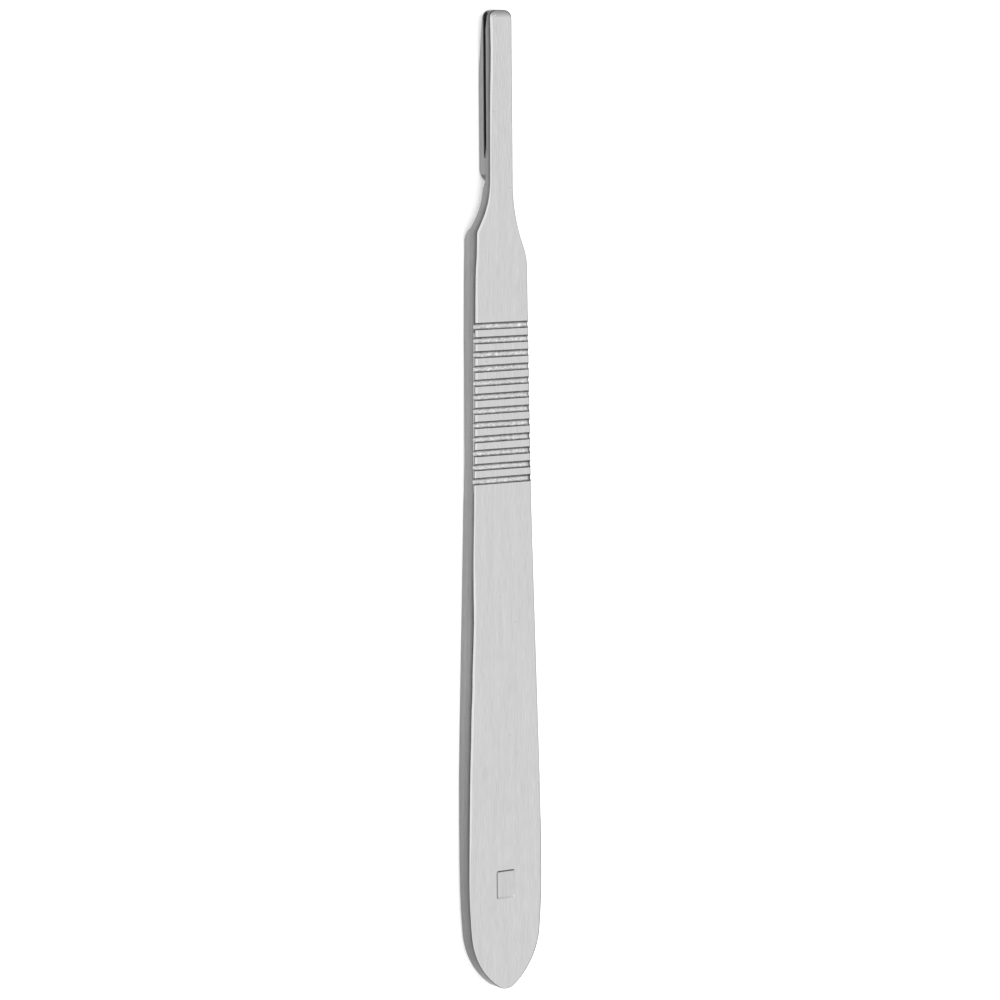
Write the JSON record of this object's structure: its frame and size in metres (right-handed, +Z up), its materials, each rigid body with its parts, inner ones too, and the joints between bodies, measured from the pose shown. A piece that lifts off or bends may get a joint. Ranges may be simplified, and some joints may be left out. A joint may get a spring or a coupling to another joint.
{
  "type": "scalpel handle",
  "caption": "One-piece flat steel handle for a removable surgical blade, with a slotted blade boss at one end, a cross-grooved grip and a rounded butt.",
  "frame": {"origin": "middle of the overall box, on the surface that the flat back rests on", "axes": "+X along the handle towards the blade end, +Y towards the flank with the tight shoulder, +Z up out of the grooved front face"},
  "size_m": [0.135, 0.0118, 0.003],
  "materials": {
    "steel": "satin, ground lengthwise"
  },
  "bodies": {
    "root": {"handle": "steel"}
  },
  "joints": []
}
